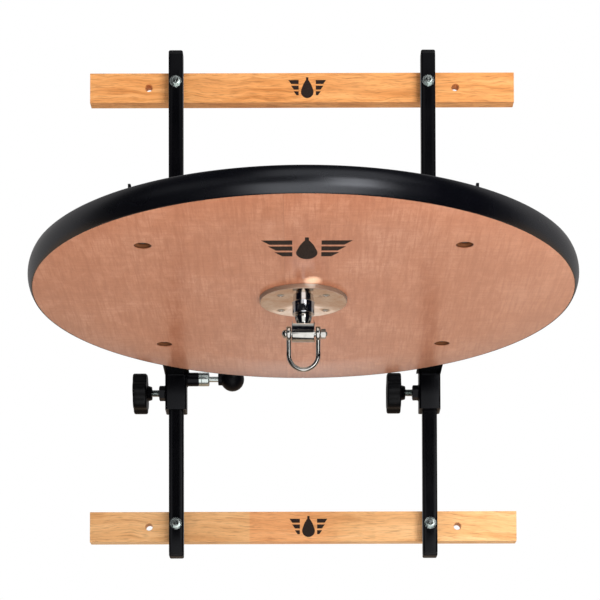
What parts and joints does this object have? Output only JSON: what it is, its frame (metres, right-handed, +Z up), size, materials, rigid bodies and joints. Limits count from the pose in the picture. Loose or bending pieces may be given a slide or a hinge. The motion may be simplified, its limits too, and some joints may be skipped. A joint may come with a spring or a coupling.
{
  "type": "speed bag platform",
  "caption": "Wall-mounted round rebound board on a height-adjustable steel carriage, with a ball-bearing swivel and hook for a boxing speed bag.",
  "frame": {"origin": "on the wall plane, midway between the four wall screw holes", "axes": "+X to the right as a user faces the wall, +Y into the wall, +Z up"},
  "size_m": [0.6095, 0.7225, 0.671],
  "materials": {
    "board_wood": "oiled hardwood with fine straight grain",
    "disc_plywood": "varnished reddish plywood veneer, satin",
    "bumper_rubber": "satin moulded rubber",
    "liner_nylon": "black nylon",
    "black_plastic": "fine moulded texture",
    "chrome_steel": "polished chrome plate",
    "brass_pad": "turned",
    "zinc_plate": "bright zinc plate",
    "black_oxide": "black oxide fasteners, satin",
    "black_powder_coat": "black powder coat, low gloss"
  },
  "bodies": {
    "wall_frame": {"top_board": "board_wood", "bottom_board": "board_wood", "left_tube": "black_powder_coat", "right_tube": "black_powder_coat", "left_top_cap": "black_plastic", "right_top_cap": "black_plastic", "left_bottom_cap": "black_plastic", "right_bottom_cap": "black_plastic", "frame_bolts": "zinc_plate", "frame_washers": "zinc_plate", "frame_nuts": "zinc_plate"},
    "carriage": {"left_sleeve": "black_powder_coat", "right_sleeve": "black_powder_coat", "left_upper_liner": "liner_nylon", "left_lower_liner": "liner_nylon", "right_upper_liner": "liner_nylon", "right_lower_liner": "liner_nylon", "left_arm": "black_powder_coat", "right_arm": "black_powder_coat", "left_brace": "black_powder_coat", "right_brace": "black_powder_coat", "left_clamp_nut": "black_powder_coat", "right_clamp_nut": "black_powder_coat", "disc_board": "disc_plywood", "bumper": "bumper_rubber", "disc_bolts": "black_oxide", "disc_washers": "black_oxide", "disc_nuts": "black_oxide", "swivel_plate": "chrome_steel", "swivel_screws": "chrome_steel", "pin_housing": "black_powder_coat", "pin_barrel": "zinc_plate", "pin_spring": "zinc_plate"},
    "pull_pin": {"pin_rod": "zinc_plate", "ball_knob": "black_plastic"},
    "left_pad": {"left_pressure_pad": "brass_pad"},
    "left_knob": {"left_clamp_screw": "zinc_plate", "left_clamp_knob": "black_plastic"},
    "right_pad": {"right_pressure_pad": "brass_pad"},
    "right_knob": {"right_clamp_screw": "zinc_plate", "right_clamp_knob": "black_plastic"},
    "swivel": {"swivel_spindle": "chrome_steel", "swivel_block": "chrome_steel", "cross_bolt": "chrome_steel", "cross_nut": "chrome_steel"},
    "bearing": {"ball_cage": "zinc_plate", "bearing_balls": "chrome_steel"},
    "hook": {"bag_hook": "chrome_steel"}
  },
  "joints": [
    {"name": "height_slide", "type": "slide", "parent": "wall_frame", "child": "carriage", "axis": [0, 0, 1], "range_m": [-0.125, 0.15]},
    {"name": "pull_pin_slide", "type": "slide", "parent": "carriage", "child": "pull_pin", "axis": [1, 0, 0], "range_m": [-0.011, 0.0015], "deforming": ["pin_spring"]},
    {"name": "left_clamp_travel", "type": "slide", "parent": "carriage", "child": "left_pad", "axis": [-1, 0, 0], "range_m": [0, 0.00375]},
    {"name": "left_clamp_spin", "type": "hinge", "parent": "left_pad", "child": "left_knob", "pos_m": [-0.20635, -0.02652, -0.1185], "axis": [-1, 0, 0], "range_deg": [0, 901]},
    {"name": "right_clamp_travel", "type": "slide", "parent": "carriage", "child": "right_pad", "axis": [-1, 0, 0], "range_m": [0, 0.00375]},
    {"name": "right_clamp_spin", "type": "hinge", "parent": "right_pad", "child": "right_knob", "pos_m": [0.12635, -0.02652, -0.1185], "axis": [-1, 0, 0], "range_deg": [0, 901]},
    {"name": "swivel_spin", "type": "hinge", "parent": "carriage", "child": "swivel", "pos_m": [0, -0.4177, -0.1555], "axis": [0, 0, 1], "continuous": true},
    {"name": "bearing_spin", "type": "hinge", "parent": "carriage", "child": "bearing", "pos_m": [0, -0.4177, -0.1405], "axis": [0, 0, 1], "continuous": true},
    {"name": "hook_swing", "type": "hinge", "parent": "swivel", "child": "hook", "pos_m": [0, -0.4177, -0.1655], "axis": [1, 0, 0], "range_deg": [-135, 135]}
  ],
  "couplings": [
    {"joint": "left_clamp_spin", "follows": "left_clamp_travel", "rad_per_m": 4188.8},
    {"joint": "right_clamp_spin", "follows": "right_clamp_travel", "rad_per_m": 4188.8},
    {"joint": "bearing_spin", "follows": "swivel_spin", "ratio": 0.5}
  ]
}
